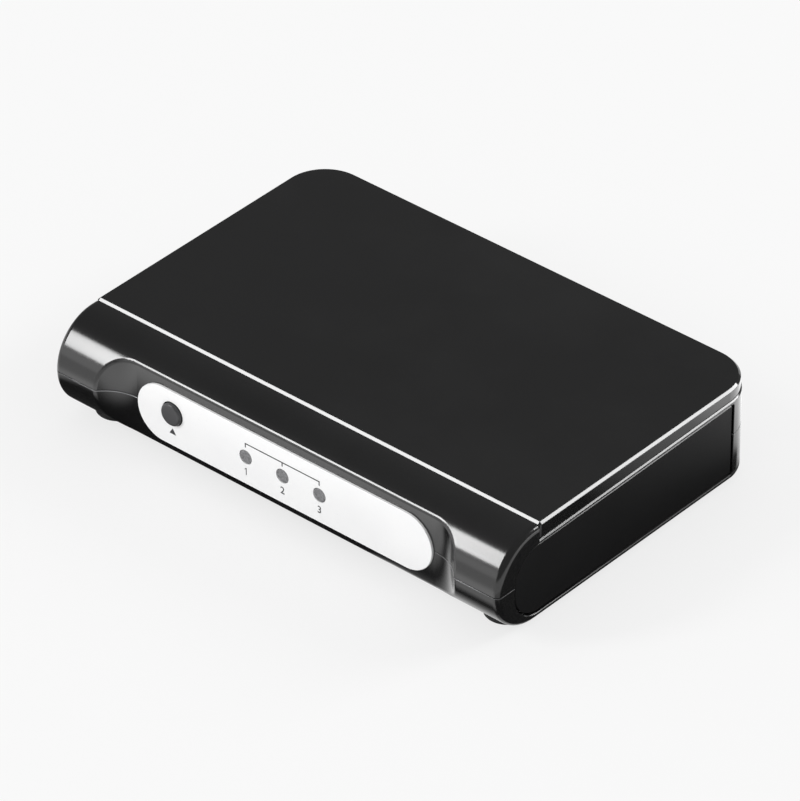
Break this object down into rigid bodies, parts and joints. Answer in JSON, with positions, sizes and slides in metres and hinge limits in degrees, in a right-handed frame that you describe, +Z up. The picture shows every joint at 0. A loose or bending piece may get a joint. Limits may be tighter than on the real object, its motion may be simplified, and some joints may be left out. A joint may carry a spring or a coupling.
{
  "type": "video switch box",
  "caption": "Flat glossy box with a bull-nosed front, a white stadium-shaped panel with a push button and indicator lamps, video sockets and a power socket at the back.",
  "frame": {"origin": "middle of the footprint, on the plane that the four feet stand on", "axes": "+X along the front towards its right end, -Y towards the front panel, +Z up"},
  "size_m": [0.11, 0.0756, 0.022],
  "materials": {
    "casing": "high gloss black",
    "lid": "mirror gloss black",
    "side_panel": "satin black",
    "front_panel": "glossy white with printed numbers",
    "button": "semi-gloss dark grey",
    "lamp": "unlit grey lens",
    "rubber": "matte",
    "screw_steel": "dark zinc",
    "board": "green solder mask",
    "socket_steel": "nickel-plated sheet",
    "socket_plastic": "moulded black",
    "contact_metal": "plated spring metal",
    "tin_metal": "tinned",
    "can_metal": "drawn can",
    "chip_plastic": "moulded epoxy",
    "ceramic_tan": "fired ceramic",
    "ceramic_black": "glazed film",
    "switch_plastic": "moulded"
  },
  "bodies": {
    "case": {"board_screws": "screw_steel", "case_screws": "screw_steel", "chip_capacitors": "ceramic_tan", "chip_resistors": "ceramic_black", "circuit_board": "board", "control_chip": "chip_plastic", "control_chip_leads": "tin_metal", "crystal": "can_metal", "filter_capacitors": "can_metal", "foot_front_left": "rubber", "foot_front_right": "rubber", "foot_rear_left": "rubber", "foot_rear_right": "rubber", "front_panel": "front_panel", "input_1_socket_contacts": "contact_metal", "input_1_socket_insulator": "socket_plastic", "input_1_socket_shell": "socket_steel", "input_2_socket_contacts": "contact_metal", "input_2_socket_insulator": "socket_plastic", "input_2_socket_shell": "socket_steel", "input_3_socket_contacts": "contact_metal", "input_3_socket_insulator": "socket_plastic", "input_3_socket_shell": "socket_steel", "lamp_1": "lamp", "lamp_2": "lamp", "lamp_3": "lamp", "lamp_leads": "tin_metal", "lower_shell": "casing", "output_socket_contacts": "contact_metal", "output_socket_insulator": "socket_plastic", "output_socket_shell": "socket_steel", "power_jack_contact": "socket_steel", "power_jack_housing": "socket_plastic", "power_jack_pin": "socket_steel", "side_panel_left": "side_panel", "side_panel_right": "side_panel", "switch_chip": "chip_plastic", "switch_chip_leads": "tin_metal", "switch_cover": "socket_steel", "switch_housing": "switch_plastic", "switch_pins": "tin_metal", "top_plate": "lid", "upper_shell": "casing", "voltage_regulator": "chip_plastic", "voltage_regulator_leads": "tin_metal"},
    "button": {"select_button": "button", "switch_plunger": "switch_plastic"}
  },
  "joints": [
    {"name": "select_button_press", "type": "slide", "parent": "case", "child": "button", "axis": [0, 1, 0], "range_m": [0, 0.0004], "stiffness_N_per_m": 1500}
  ]
}
